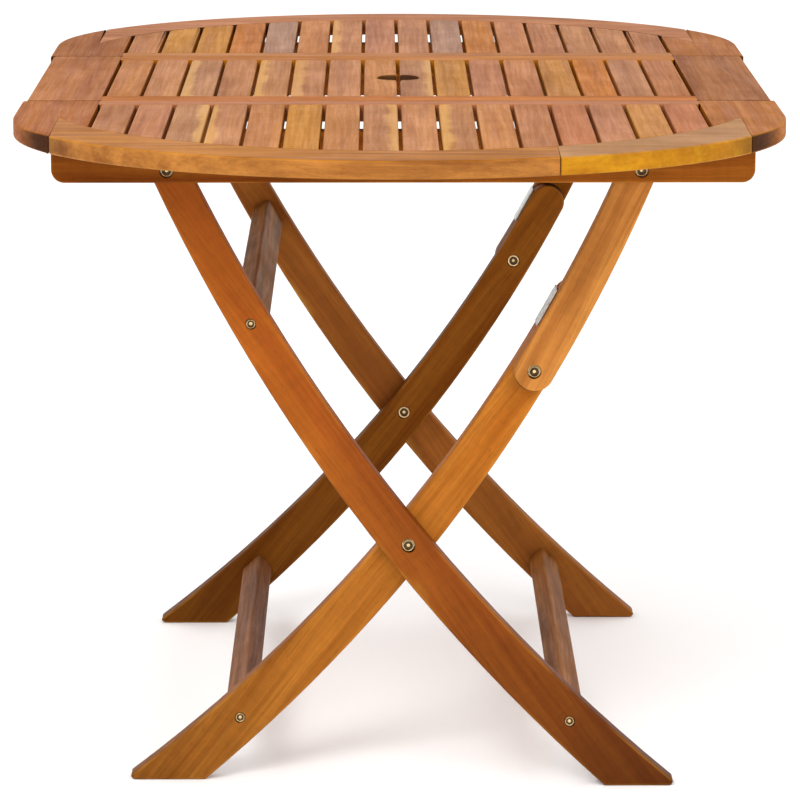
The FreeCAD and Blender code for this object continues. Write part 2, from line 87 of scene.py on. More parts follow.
WELD = 0.00002        # points closer than this are one point
FLAT = 0.0002         # heights closer than this are one face
MERGE = 0.0008        # points of an outline closer than this become one
STRAIGHT = 0.0001     # sine of a turn too small to be a corner
FACING = 0.99         # cosine between a board's face and its thickness axis
KEY_DIGITS = 6        # decimals that tell two corners of a face apart
MITRE_LIMIT = 0.5     # keeps the inset of a sharp corner short
CORNER_TURN = math.radians(20)
ROUND_STEPS = 4
FILLET_STEPS = 5
FILLET = 1.7          # corner fillet over edge rounding
RIM = 0.0006          # broken edge of a drilled hole
BORE_HIGHLIGHT = 0.3       # painted highlight on the walls of a drilled hole, where a free edge has 1
HOLE_SEGMENTS = 40
HOLE_MATCH = 0.002    # mouths of one hole have their centres this near each other
FOOT_SHARE = 0.75     # lower share of a leg that darkens towards its foot
HULL_REACH = 0.006    # a board's edge this near the outline of the whole top is a free edge
HULL_DIGITS = 5       # decimals of the points of that outline
SEAM = 0.25           # rounding of the other edges against that of a free one
NO_SAP = -4.0         # far enough from the sapwood for none to show

# thickness axis: the two axes across it, so that the three are right-handed
ACROSS = {"z": (0, 1, 2), "y": (2, 0, 1)}
LEVEL = 0.5           # part of a grain direction below which it doesn't follow an axis

# Each board starts somewhere else in the noise: its seed times the step, within the span.
GRAIN_STEP = (3.71, 1.93, 2.57)
GRAIN_SPAN = (17, 11, 13)
SEED_STEP = 7         # from one CAD node to the next; within a node it is 1
GRAIN_WAYS = {"x": Vector((1, 0, 0)), "y": Vector((0, 1, 0))}

# Tones of boards against their wood: value, shift of hue, saturation. Slats use letters, from
# left to right: t tan, g golden, o orange, p pinkish, b brown, a ash, and capitals for pale
# sapwood, R along the right edge and L along the left. Digits are for single boards.
TONES = {
    "t": (1.00, 0.000, 0.97),
    "g": (1.03, 0.010, 1.04),
    "o": (1.02, -0.002, 1.08),
    "p": (0.98, -0.006, 0.94),
    "b": (0.86, -0.004, 0.96),
    "a": (0.80, -0.004, 0.80),
    "L": (0.95, 0.002, 0.93),
    "R": (0.94, 0.000, 0.94),
    "1": (0.95, 0.000, 1.03),
    # painted shade: the rear inner leg and rear knee link darker than their front copies
    "2": (0.44, -0.004, 1.00),
    "3": (0.80, 0.004, 0.94),
    "4": (0.62, -0.004, 1.00),
    "5": (0.84, 0.006, 0.94),
    "6": (1.12, 0.010, 0.98),
    "7": (0.80, -0.004, 1.06),
    "8": (0.66, -0.004, 1.04),
}
SLATS = {
    "front_slats": "bpLRtgtLtRtbppgp",
    "mid_slats": "ttRbRRtgppgobb",
    "mid_hole_slats": "tL",
    "rear_slats": "bggoatRppaoppttb",
}
# random spread of value and saturation, of hue, and of where sapwood starts (0 middle, 1 edge)
SPREAD = (0.96, 1.04)
HUE_SPREAD = (-0.003, 0.003)
SAP_SPREAD = (0.25, 0.55)
# curved legs with a thin pale strip along one rounded edge, a painted highlight in the sapwood
# colour: its side, as for L and R, and where it starts
LEG_PAINTED_HIGHLIGHT = {"outer_leg_front": (-1, 1.02), "outer_leg_rear": (-1, 1.02)}
# painted shade: value at the foot of a leg against its upper end
FOOT_SHADE = {"outer_leg_front": 0.24, "outer_leg_rear": 0.82, "inner_leg_front": 0.42,
              "inner_leg_rear": 0.55}
# painted light and sheen on the upper face of a board against the rest of it: value, shift of
# hue, saturation
SAME_FACE = (1, 0, 1)
TOP_FACE_PAINTED_LIGHT = {"front_bow_rail_end": (0.90, -0.006, 0.88), "front_bow_rail": (1.12, 0.000, 1.08)}
# look of a piece that has no tone of its own, in the order of board_look
PLAIN_LOOK = (1, 0, 1, 0, 0, 1, SAME_FACE)


def srgb(red, green, blue):
    """Linear colour of an 8-bit one."""
    out = []
    for part in (red, green, blue):
        part /= 255
        out.append(part / 12.92 if part <= 0.04045 else ((part + 0.055) / 1.055) ** 2.4)
    return (*out, 1.0)


# ------------------------------------------------------------ outlines of the CAD boards


def solids(node):
    """Each separate solid of a CAD node, as the corners and the normal of every face."""
    bm = bmesh.new()
    bm.from_mesh(frame["nodes"][node].data)
    bmesh.ops.remove_doubles(bm, verts=bm.verts[:], dist=WELD)
    bm.normal_update()
    left = set(bm.faces)
    found = []
    for first in bm.faces:
        if first not in left:
            continue
        left.remove(first)
        todo = [first]
        group = []
        while todo:
            face = todo.pop()
            group.append(face)
            for edge in face.edges:
                for other in edge.link_faces:
                    if other in left:
                        left.remove(other)
                        todo.append(other)
        faces = [([v.co.copy() for v in f.verts], f.normal.copy()) for f in group]
        found.append(faces)
    bm.free()
    return found


def area(loop):
    """Area of a loop, negative when it runs clockwise."""
    return sum(p[0] * q[1] - q[0] * p[1] for p, q in zip(loop, loop[1:] + loop[:1])) / 2


def outer_edges(faces, axes, side, level):
    """Edges of a board's flat face that no two of its mesh faces share, by their start."""
    one, two, up = axes
    step = {}
    for corners, normal in faces:
        if normal[up] * side < FACING or any(abs(p[up] - level) > FLAT for p in corners):
            continue
        keys = [(round(p[one], KEY_DIGITS), round(p[two], KEY_DIGITS)) for p in corners]
        for a, b in zip(keys, keys[1:] + keys[:1]):
            if a in step.get(b, ()):
                step[b].remove(a)
            else:
                step.setdefault(a, []).append(b)
    return step


def face_loops(faces, axes, side):
    """Boundary loops of the flat face on one side of a board, and its height."""
    heights = [p[axes[2]] for corners, _ in faces for p in corners]
    level = min(heights) if side < 0 else max(heights)
    step = outer_edges(faces, axes, side, level)
    loops = []
    while any(step.values()):
        start = next(k for k, v in step.items() if v)
        loop = [start]
        here = step[start].pop()
        while here != start:
            loop.append(here)
            here = step[here].pop()
        loops.append(loop)
    loops.sort(key=lambda loop: -abs(area(loop)))
    return loops, level


def tidy(loop):
    """Counter-clockwise loop without repeated, stepped or straight-through points."""
    if area(loop) < 0:
        loop = loop[::-1]
    spread = [Vector(loop[0])]
    for point in loop[1:]:
        if (Vector(point) - spread[-1]).length > MERGE:
            spread.append(Vector(point))
    if (spread[0] - spread[-1]).length < MERGE:
        spread.pop()
    out = []
    for i, here in enumerate(spread):
        before, after = spread[i - 1], spread[(i + 1) % len(spread)]
        a, b = (here - before).normalized(), (after - here).normalized()
        if abs(a.cross(b)) > STRAIGHT or a.dot(b) < 0:
            out.append(here)
    return out


def corner_cuts(loop, radius):
    """How far a fillet reaches along the loop from each sharp corner, by its index."""
    count = len(loop)
    cuts = {}
    for i in range(count):
        a = (loop[i] - loop[i - 1]).normalized()
        b = (loop[(i + 1) % count] - loop[i]).normalized()
        turn = abs(a.angle(b))
        if turn > CORNER_TURN:
            cuts[i] = radius * min(math.tan(turn / 2), 1.0)
    return cuts


def fillet(loop, radius):
    """Round the sharp corners of a loop."""
    count = len(loop)
    lengths = [(loop[(i + 1) % count] - loop[i]).length for i in range(count)]
    starts = [0.0]
    for length in lengths:
        starts.append(starts[-1] + length)
    total = starts[-1]

    def at(s):
        """Point at a distance along the loop."""
        s %= total
        for i in range(count):
            if s <= starts[i + 1]:
                share = (s - starts[i]) / lengths[i]
                return loop[i].lerp(loop[(i + 1) % count], share)
        return loop[0].copy()

    cuts = corner_cuts(loop, radius)
    out = []
    for i in range(count):
        if i in cuts:
            reach = cuts[i]
            first, last = at(starts[i] - reach), at(starts[i] + reach)
            for k in range(FILLET_STEPS + 1):
                t = k / FILLET_STEPS
                out.append((1 - t) ** 2 * first + 2 * t * (1 - t) * loop[i] + t * t * last)
            continue
        near = [abs((starts[i] - starts[j] + total / 2) % total - total / 2) < cuts[j] + WELD
                for j in cuts]
        if not any(near):
            out.append(loop[i].copy())
    return out


def out_normals(loop):
    """Outward normal and mitre length at each point of a counter-clockwise loop."""
    count = len(loop)
    sides = []
    for i in range(count):
        step = loop[(i + 1) % count] - loop[i]
        sides.append((Vector((step.y, -step.x)).normalized(), step.length))
    normals, mitres = [], []
    for i in range(count):
        (a, a_long), (b, b_long) = sides[i - 1], sides[i]
        normals.append((a * a_long + b * b_long).normalized())
        mitres.append((a + b) / max(1 + a.dot(b), MITRE_LIMIT))
    return normals, mitres


def circles(loops):
    """Centre and radius of each loop."""
    found = []
    for loop in loops:
        centre = sum((Vector(p) for p in loop), Vector((0, 0))) / len(loop)
        found.append((centre, (Vector(loop[0]) - centre).length))
    return found


def drilled(faces, axes, loops_low, loops_high, low, high):
    """Round holes through a board: centre and profile of radius and height."""
    one, two, up = axes
    holes = []
    for centre, wide in circles(loops_low[1:]):
        for other, narrow in circles(loops_high[1:]):
            if (centre - other).length > HOLE_MATCH:
                continue
            profile = [(wide, low), (narrow, high)]
            if abs(wide - narrow) > FLAT:
                reach = max(wide, narrow) + FLAT
                steps = [p[up] for corners, _ in faces for p in corners
                         if (Vector((p[one], p[two])) - centre).length < reach
                         and low + FLAT < p[up] < high - FLAT]
                floor = min(steps) if wide > narrow else max(steps)
                profile = [(wide, low), (wide, floor), (narrow, floor), (narrow, high)]
            holes.append((centre, profile))
    return holes


# ------------------------------------------------------------ boards


class Board:
    """A mesh under construction, with the grain of one board at a time."""

    def __init__(self):
        self.points = []
        self.normals = []
        self.faces = []
        self.grain = []
        self.place = []
        self.tone = []

    def start(self, axes, along, look, seed):
        """Begin a board; the points from here on are its own."""
        self.axes = axes
        self.along = along
        self.look = look
        self.offset = Vector([seed * step % span for step, span in zip(GRAIN_STEP, GRAIN_SPAN)])
        self.first = len(self.points)

    def add(self, flat, height, normal_flat, normal_up, edge=0.0):
        """A point with its normal and the strength of its painted highlight on wood or painted
        shade on metal; the result is its number.
        """
        one, two, up = self.axes
        point, normal = [0.0] * 3, [0.0] * 3
        point[one], point[two], point[up] = flat[0], flat[1], height
        normal[one], normal[two], normal[up] = normal_flat[0], normal_flat[1], normal_up
        self.points.append(Vector(point))
        self.normals.append(Vector(normal).normalized())
        self.place.append(edge)
        return len(self.points) - 1

    def strip(self, lower, upper):
        """Faces between two closed rings."""
        count = len(lower)
        for i in range(count):
            j = (i + 1) % count
            self.face([lower[i], lower[j], upper[j], upper[i]])

    def face(self, ids):
        """A face turned the way its points' normals look."""
        corners = [self.points[i] for i in ids]
        normal = (corners[1] - corners[0]).cross(corners[2] - corners[0])
        if len(ids) == 4:
            normal += (corners[2] - corners[0]).cross(corners[3] - corners[0])
        facing = sum((self.normals[i] for i in ids), Vector())
        self.faces.append(ids if normal.dot(facing) >= 0 else ids[::-1])

    def grain_axes(self):
        """Directions along the grain, across the board and through it."""
        flat_board = self.axes[2] == 2 and abs(self.along.z) < LEVEL
        lying = abs(self.along.y) >= LEVEL
        other = Vector((0, 0, 1)) if flat_board or lying else Vector((0, 1, 0))
        across = other.cross(self.along).normalized()
        return self.along, across, self.along.cross(across)

    def toned(self, normal, rise):
        """Tone of a point, with painted shade towards a leg's foot from its height along the
        board, 0 to 1, and painted light on upper faces from its normal.
        """
        value, hue, strong, _, _, foot, upper = self.look
        shade = value * (foot + (1 - foot) * rise)
        # painted light and sheen on faces that look up
        flat = max(normal.z, 0.0) ** 2
        return (shade * (1 + (upper[0] - 1) * flat), hue + upper[1] * flat,
                strong * (1 + (upper[2] - 1) * flat))

    def finish(self):
        """Grain coordinates, place and tone of the board that was started last."""
        axes = self.grain_axes()
        runs = [tuple(p.dot(axis) for axis in axes) for p in self.points[self.first:]]
        start, end = min(run[0] for run in runs), max(run[0] for run in runs)
        low, high = min(run[1] for run in runs), max(run[1] for run in runs)
        pale_band, pale_from = self.look[3:5]
        for i, run in enumerate(runs, start=self.first):
            self.grain.append(Vector(run) + self.offset)
            share = 2 * (run[1] - low) / (high - low) - 1
            end_grain = abs(self.normals[i].dot(self.along))
            self.place[i] = (share * pale_band - pale_from if pale_band else NO_SAP, end_grain, self.place[i])
            rise = min((run[0] - start) / (end - start) / FOOT_SHARE, 1.0)
            self.tone.append(self.toned(self.normals[i], rise))

    def make(self, name, material):
        """The finished mesh as an object in the scene."""
        mesh = bpy.data.meshes.new(name)
        mesh.from_pydata(self.points, [], self.faces)
        mesh.polygons.foreach_set("use_smooth", [True] * len(mesh.polygons))
        mesh.normals_split_custom_set_from_vertices(self.normals)
        for word, rows in (("grain", self.grain), ("place", self.place), ("tone", self.tone)):
            layer = mesh.attributes.new(word, "FLOAT_VECTOR", "POINT")
            layer.data.foreach_set("vector", [part for row in rows for part in row])
        mesh.materials.append(material)
        piece = bpy.data.objects.new(name, mesh)
        bpy.context.scene.collection.objects.link(piece)
        return piece


def cap(board, ring, holes, height, side):
    """Flat face with its round holes."""
    loops = [[board.points[i] for i in ring]]
    ids = list(ring)
    for centre, radius in holes:
        rim = []
        for k in range(HOLE_SEGMENTS):
            turn = 2 * math.pi * k / HOLE_SEGMENTS
            spot = centre + radius * Vector((math.cos(turn), math.sin(turn)))
            rim.append(board.add(spot, height, (0, 0), side))
        ids += rim
        loops.append([board.points[i] for i in rim])
    for tri in tessellate_polygon(loops):
        board.face([ids[i] for i in tri])


def bore(board, centre, profile):
    """Walls of a drilled hole, with broken edges at both mouths."""
    (first, low), (last, high) = profile[0], profile[-1]
    line = [(first + RIM, low), (first, low + RIM), *profile[1:-1],
            (last, high - RIM), (last + RIM, high)]
    for (r0, h0), (r1, h1) in zip(line, line[1:]):
        if abs(r0 - r1) + abs(h0 - h1) < WELD:
            continue
        rings = ([], [])
        for k in range(HOLE_SEGMENTS):
            turn = 2 * math.pi * k / HOLE_SEGMENTS
            spoke = Vector((math.cos(turn), math.sin(turn)))
            for ring, radius, height in ((rings[0], r0, h0), (rings[1], r1, h1)):
                spot = centre + radius * spoke
                ring.append(board.add(spot, height, spoke * (h0 - h1), r1 - r0, BORE_HIGHLIGHT))
        board.strip(*rings)


def hull(spots):
    """Convex outline of a cloud of points."""
    spots = sorted(set(spots))
    line = []
    for row in (spots, spots[::-1]):
        part = []
        for spot in row:
            while len(part) > 1 and area([part[-2], part[-1], spot]) <= 0:
                part.pop()
            part.append(spot)
        line += part[:-1]
    return [Vector(spot) for spot in line]


def top_outline():
    """Convex outline of the whole tabletop."""
    spots = []
    for name in ("front_end_board_left", "front_end_board_right", "front_bow_rail",
                 "front_bow_rail_end", "rear_end_board_left", "rear_end_board_right",
                 "rear_bow_rail", "mid_end_board_left", "mid_end_board_right"):
        for vertex in frame["nodes"][name].data.vertices:
            spots.append((round(vertex.co.x, HULL_DIGITS), round(vertex.co.y, HULL_DIGITS)))
    return hull(spots)


def softness(outline, free):
    """Share of the rounding at each point: less where a board meets its neighbour."""
    if free is None:
        return [1.0] * len(outline)
    shares = []
    for point in outline:
        gap = min((point - intersect_point_line(point, a, b)[0]).length
                  for a, b in zip(free, free[1:] + free[:1]))
        shares.append(1.0 if gap < HULL_REACH else SEAM)
    return shares


def add_board(board, faces, axes, rounding, plain, free=None):
    """One rounded board from the faces of a CAD solid."""
    loops_low, low = face_loops(faces, axes, -1)
    loops_high, high = face_loops(faces, axes, 1)
    outline = fillet(tidy(loops_low[0]), rounding * FILLET)
    holes = [] if plain else drilled(faces, axes, loops_low, loops_high, low, high)
    normals, mitres = out_normals(outline)
    shares = softness(outline, free)
    rings = []
    for side, level in ((-1, low), (1, high)):
        part = []
        for k in range(ROUND_STEPS + 1):
            turn = math.pi / 2 * k / ROUND_STEPS
            step = rounding * (1 - math.sin(turn))
            drop = side * rounding * (1 - math.cos(turn))
            # strength of the painted highlight, most in the middle of the rounding
            edge = math.sin(2 * turn)
            part.append([board.add(p - m * step * share, level - drop * share,
                                   n * math.sin(turn), side * math.cos(turn), edge * share)
                         for p, n, m, share in zip(outline, normals, mitres, shares)])
        rings.append(part)
    for part in rings:
        for lower, upper in zip(part, part[1:]):
            board.strip(lower, upper)
    board.strip(rings[0][-1], rings[1][-1])
    cap(board, rings[0][0], [(c, p[0][0] + RIM) for c, p in holes], low, -1)
    cap(board, rings[1][0], [(c, p[-1][0] + RIM) for c, p in holes], high, 1)
    for centre, profile in holes:
        bore(board, centre, profile)


def chord(faces):
    """Long direction of a curved leg, from its foot or lower end to the top."""
    points = [p for corners, _ in faces for p in corners]
    mid = sum(points, Vector()) / len(points)
    xx = sum((p.x - mid.x) ** 2 for p in points)
    zz = sum((p.z - mid.z) ** 2 for p in points)
    xz = sum((p.x - mid.x) * (p.z - mid.z) for p in points)
    turn = math.atan2(2 * xz, xx - zz) / 2
    way = Vector((math.cos(turn), 0, math.sin(turn)))
    return way if way.z > 0 else -way


TOP_OUTLINE = top_outline()


def board_look(node, letter, dice):
    """Value, hue, saturation, side and start of sapwood or of the painted leg highlight, painted
    shade at the foot and painted light on the upper face of a board.
    """
    value, hue, strong = TONES[letter]
    value *= dice.uniform(*SPREAD)
    hue += dice.uniform(*HUE_SPREAD)
    strong *= dice.uniform(*SPREAD)
    pale_band = ({"L": -1, "R": 1}.get(letter, 0), dice.uniform(*SAP_SPREAD))
    return (value, hue, strong, *LEG_PAINTED_HIGHLIGHT.get(node, pale_band), FOOT_SHADE.get(node, 1),
            TOP_FACE_PAINTED_LIGHT.get(node, SAME_FACE))


def mean_x(faces):
    """Place of a board from left to right."""
    spots = [p.x for corners, _ in faces for p in corners]
    return sum(spots) / len(spots)


def stand_in(piece, node, slot):
    """Let a piece take the place of a CAD node, on the same body."""
    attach(piece, frame["nodes"][node]["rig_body"])
    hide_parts(node)


def make_boards(node, axis, grain, rounding, slot, tones, seed):
    """Replace a CAD node with rounded boards, their tones and grain from left to right."""
    board = Board()
    dice = random.Random(seed)
    free = TOP_OUTLINE if "rail" in node or "end_board" in node else None
    for index, faces in enumerate(sorted(solids(node), key=mean_x)):
        look = board_look(node, tones[index % len(tones)], dice)
        along = GRAIN_WAYS.get(grain) or chord(faces)
        board.start(ACROSS[axis], along, look, seed * SEED_STEP + index)
        add_board(board, faces, ACROSS[axis], rounding, axis == grain, free)
        board.finish()
    stand_in(board.make(node + "_wood", WOODS[slot]), node, slot)


# ------------------------------------------------------------ material nodes


class Tree:
    """Short way to write a node material."""

    def __init__(self, name):
        self.material = bpy.data.materials.new(name)
        self.material.use_nodes = True
        self.nodes = self.material.node_tree.nodes
        self.links = self.material.node_tree.links
        self.shader = self.nodes["Principled BSDF"]

    def put(self, socket, value):
        if isinstance(value, bpy.types.NodeSocket):
            self.links.new(value, socket)
        else:
            socket.default_value = value

    def add(self, kind, inputs=(), output=0, **settings):
        made = self.nodes.new("ShaderNode" + kind)
        for key, value in settings.items():
            setattr(made, key, value)
        for key, value in dict(inputs).items():
            self.put(made.inputs[key], value)
        return made.outputs[output]

    def math(self, operation, one, two=0.0, clamp=False):
        return self.add("Math", {0: one, 1: two}, operation=operation, use_clamp=clamp)

    def scaled(self, vector, scale):
        return self.add("VectorMath", {0: vector, 1: scale}, operation="MULTIPLY")

    def noise(self, vector, detail=2.0, rough=0.5, distort=0.0):
        return self.add("TexNoise", {"Vector": vector, "Scale": 1.0, "Detail": detail,
                                     "Roughness": rough, "Distortion": distort})

    def range(self, value, low, high, to_low=0.0, to_high=1.0):
        return self.add("MapRange", {"Value": value, "From Min": low, "From Max": high,
                                     "To Min": to_low, "To Max": to_high},
                        interpolation_type="SMOOTHSTEP")

    def mix(self, share, one, two, blend="MIX"):
        made = self.nodes.new("ShaderNodeMix")
        made.data_type = "RGBA"
        made.blend_type = blend
        self.put(made.inputs["Factor"], share)
        self.put(made.inputs[6], one)
        self.put(made.inputs[7], two)
        return made.outputs[2]

    def attribute(self, name):
        return self.add("Attribute", attribute_name=name, output="Vector")

    def parts(self, vector):
        made = self.nodes.new("ShaderNodeSeparateXYZ")
        self.put(made.inputs[0], vector)
        return made.outputs


# ------------------------------------------------------------ wood and metal

# Noise in a board's grain: waves per metre along and across it, then detail, roughness and
# distortion. The fibres also follow the drift, which bends them sideways by SWAY metres.
NOISES = {
    "drift": (3.0, 9.0, 2.0, 0.5, 0.0),
    "figure": (2.2, 48.0, 3.0, 0.55, 0.3),
    "streak": (7.0, 260.0, 4.0, 0.62, 0.0),
    "thread": (26.0, 1300.0, 2.0, 0.6, 0.0),
    "pore": (95.0, 2100.0, 1.0, 0.5, 0.0),
    "cloud": (9.0, 16.0, 3.0, 0.6, 0.0),
    "curl": (120.0, 14.0, 2.0, 0.5, 0.0),
}
SWAY = 0.016
FIBRES = ("figure", "streak", "thread", "pore")

# Ranges of a noise: where it starts and ends, and the value at either.
BANDS = (0.28, 0.72, 0.0, 1.0)
STREAKS = (0.34, 0.64)
STREAK_LIGHT = 0.4            # brightening by streaks against their darkening
SHADES = {
    "thread": (0.34, 0.60, 0.93, 1.03),
    "curl": (0.35, 0.65, 0.975, 1.025),
    "cloud": (0.32, 0.68, 0.91, 1.07),
}
PORES = (0.66, 0.74)
PALE_BAND_LIMIT = (-0.16, 0.26)
EDGE_HIGHLIGHT_PATCHES = (0.40, 0.62, 0.02, 0.26)
ROUGH_CLOUD = (0.3, 0.7, 0.05, -0.04)
MID_NOISE = (0.3, 0.7)

# colour of pale sapwood, also of the painted highlight strip on the outer legs and of the
# painted highlight on rounded edges
SAP_AND_HIGHLIGHT = srgb(208, 150, 52)
PORE_TINT = srgb(70, 32, 12)
END_TINT = srgb(36, 16, 5)
RECESS_SHADE_TINT = srgb(38, 18, 8)
PALE_BAND_WANDER = 1.4              # how far the limit of the sapwood and of the painted leg highlight wanders, in half widths
PALE_BAND_SHARE = 0.50
PORE_SHARE = 0.45
END_SHARE = 0.90
END_SOFT = 0.25               # width of the change from long grain to end grain
NO_SHIFT = 0.5                # hue input that leaves a colour as it is
SAP_IN_HIGHLIGHT = 0.5
STREAK_ROUGH = (0.09, -0.05)  # roughness at the low and the high end of a streak
OPEN_ROUGH = 0.12             # extra on pores and end grain
RELIEF = {"streak": 0.55, "thread": 0.35, "pits": 0.5, "cloud": 0.9}
WOOD_BUMP = {"Strength": 0.35, "Distance": 0.0006}
WOOD_SPECULAR = 0.06

TARNISH = ((240.0, 240.0, 240.0), 4.0, 0.6)     # waves per metre, detail, roughness
SCRATCH = ((900.0, 5200.0, 900.0), 2.0, 0.6)
GRIME = (0.46, 0.70)
GRIME_SHARE = 0.55
RECESS_SHADE_SHARE = 0.92
SCRATCH_ROUGH = (-0.06, 0.10)
GRIME_ROUGH = 0.18
RECESS_ROUGH = 0.3
METAL_BUMP = {"Strength": 0.2, "Distance": 0.0001}


def grain_noises(tree):
    """The noises that a wood is made of, by name."""
    grain = tree.attribute("grain")

    def noise(vector, word):
        along, across, *settings = NOISES[word]
        return tree.noise(tree.scaled(vector, (along, across, across)), *settings)

    drift = tree.math("SUBTRACT", noise(grain, "drift"), 0.5)
    sway = tree.math("MULTIPLY", drift, SWAY)
    bend = tree.add("CombineXYZ", {"Y": sway, "Z": sway})
    fibre = tree.add("VectorMath", {0: grain, 1: bend}, operation="ADD")
    noises = {word: noise(fibre, word) for word in FIBRES}
    for word in ("cloud", "curl"):
        noises[word] = noise(grain, word)
    return noises


def grain_colour(tree, noises, light, dark, contrast):
    """Bands of two colours, with streaks, fine lines, curl and patches."""
    colour = tree.mix(tree.range(noises["figure"], *BANDS), dark, light)
    streaks = (*STREAKS, 1 - contrast, 1 + contrast * STREAK_LIGHT)
    for word, span in (("streak", streaks), *SHADES.items()):
        colour = tree.mix(1.0, colour, tree.range(noises[word], *span), "MULTIPLY")
    return colour


def pale_band_share(tree, pale_at, cloud):
    """Share of sapwood on slats and of the painted highlight strip on the outer legs; its limit
    wanders.
    """
    wander = tree.math("MULTIPLY", tree.math("SUBTRACT", cloud, 0.5), PALE_BAND_WANDER)
    band = tree.range(tree.math("ADD", pale_at, wander), *PALE_BAND_LIMIT)
    return tree.math("MULTIPLY", band, PALE_BAND_SHARE)


def wood_roughness(tree, noises, rough, pits, cut_end):
    """Roughness that follows streaks and patches, duller on pores and end grain."""
    low, high = STREAK_ROUGH
    total = tree.range(noises["streak"], *MID_NOISE, rough + low, rough + high)
    bare = tree.math("ADD", pits, cut_end)
    total = tree.math("ADD", total, tree.math("MULTIPLY", bare, OPEN_ROUGH))
    return tree.math("ADD", total, tree.range(noises["cloud"], *ROUGH_CLOUD), clamp=True)


def wood_bump(tree, noises, pits):
    """Raised streaks and threads, sunk pores and the slow waves of a planed board."""
    relief = tree.math("ADD", tree.math("MULTIPLY", noises["streak"], RELIEF["streak"]),
                       tree.math("MULTIPLY", noises["thread"], RELIEF["thread"]))
    relief = tree.math("SUBTRACT", relief, tree.math("MULTIPLY", pits, RELIEF["pits"]))
    clouds = tree.math("MULTIPLY", noises["cloud"], RELIEF["cloud"])
    return tree.add("Bump", {**WOOD_BUMP, "Height": tree.math("ADD", relief, clouds)})


def wood(name, light, dark, rough, contrast, end_from):
    """Oiled hardwood from the grain, place and tone of each board."""
    tree = Tree(name)
    noises = grain_noises(tree)
    pale_at, end, edge = tree.parts(tree.attribute("place"))
    # the tone holds each board's own tone with the painted shade at the feet of legs and the
    # painted light on upper faces
    value, hue, strong = tree.parts(tree.attribute("tone"))
    colour = grain_colour(tree, noises, light, dark, contrast)
    # sapwood on slats; on the outer legs a painted highlight strip along one rounded edge
    colour = tree.mix(pale_band_share(tree, pale_at, noises["cloud"]), colour, SAP_AND_HIGHLIGHT)
    pits = tree.range(noises["pore"], *PORES)
    colour = tree.mix(tree.math("MULTIPLY", pits, PORE_SHARE), colour, PORE_TINT)
    cut_end = tree.range(end, end_from, end_from + END_SOFT)
    colour = tree.mix(tree.math("MULTIPLY", cut_end, END_SHARE), colour, END_TINT)
    colour = tree.add("HueSaturation", {
        "Hue": tree.math("ADD", hue, NO_SHIFT), "Saturation": strong, "Value": value,
        "Color": colour})
    # painted highlight: lighter colour in patches on rounded edges and, less, on the walls of
    # drilled holes
    edge_highlight = tree.math("MULTIPLY", edge, tree.range(noises["cloud"], *EDGE_HIGHLIGHT_PATCHES))
    colour = tree.mix(edge_highlight, colour, tree.mix(SAP_IN_HIGHLIGHT, light, SAP_AND_HIGHLIGHT))
    tree.put(tree.shader.inputs["Base Color"], colour)
    tree.put(tree.shader.inputs["Roughness"],
             wood_roughness(tree, noises, rough, pits, cut_end))
    tree.put(tree.shader.inputs["Normal"], wood_bump(tree, noises, pits))
    tree.shader.inputs["Specular IOR Level"].default_value = WOOD_SPECULAR
    return tree.material


def metal(name, tint, dull, rough):
    """Plated steel with fine turning marks, tarnish and painted shade in its recesses."""
    tree = Tree(name)
    spot = tree.nodes.new("ShaderNodeTexCoord").outputs["Object"]
    recess_shade = tree.parts(tree.attribute("place"))[2]
    tarnish, scratch = (tree.noise(tree.scaled(spot, waves), *settings)
                        for waves, *settings in (TARNISH, SCRATCH))
    grime = tree.range(tarnish, *GRIME)
    colour = tree.mix(tree.math("MULTIPLY", grime, GRIME_SHARE), tint, dull)
    # painted shade: darker in the dish and socket of a head and on its hidden sides
    colour = tree.mix(tree.math("MULTIPLY", recess_shade, RECESS_SHADE_SHARE), colour, RECESS_SHADE_TINT)
    tree.put(tree.shader.inputs["Base Color"], colour)
    low, high = SCRATCH_ROUGH
    shine = tree.range(scratch, *MID_NOISE, rough + low, rough + high)
    shine = tree.math("ADD", shine, tree.math("MULTIPLY", grime, GRIME_ROUGH))
    shine = tree.math("ADD", shine, tree.math("MULTIPLY", recess_shade, RECESS_ROUGH), clamp=True)
    tree.put(tree.shader.inputs["Roughness"], shine)
    tree.put(tree.shader.inputs["Normal"], tree.add("Bump", {**METAL_BUMP, "Height": scratch}))
    tree.shader.inputs["Metallic"].default_value = 1.0
    return tree.material


# wood: light and dark colour, roughness, contrast of its streaks, and how squarely a face has
# to cross the grain (0 along it, 1 square to it) before it counts as end grain
WOODS = {
    "top_wood": wood("top_wood", srgb(176, 110, 46), srgb(152, 88, 32), 0.50, 0.10, 0.22),
    "amber_wood": wood("amber_wood", srgb(178, 106, 36), srgb(138, 72, 17), 0.48, 0.14, 0.72),
    "yellow_wood": wood("yellow_wood", srgb(172, 116, 10), srgb(154, 95, 6), 0.48, 0.10, 0.72),
    "red_wood": wood("red_wood", srgb(160, 87, 17), srgb(142, 70, 10), 0.50, 0.10, 0.50),
    "gold_wood": wood("gold_wood", srgb(186, 114, 41), srgb(154, 84, 21), 0.50, 0.14, 0.50),
    "grey_wood": wood("grey_wood", srgb(140, 86, 32), srgb(102, 60, 22), 0.55, 0.14, 0.50),
}
# metal: clean and tarnished colour, roughness
METALS = {
    "brass": metal("brass", srgb(228, 200, 150), srgb(136, 104, 62), 0.26),
    "zinc": metal("zinc", srgb(196, 196, 190), srgb(128, 126, 118), 0.34),
}

# ------------------------------------------------------------ pieces

SOFT = 0.0022         # rounding of edges
BATTEN_SOFT = 0.0015
APRON_SOFT = 0.0018
LEG_SOFT = 0.0030
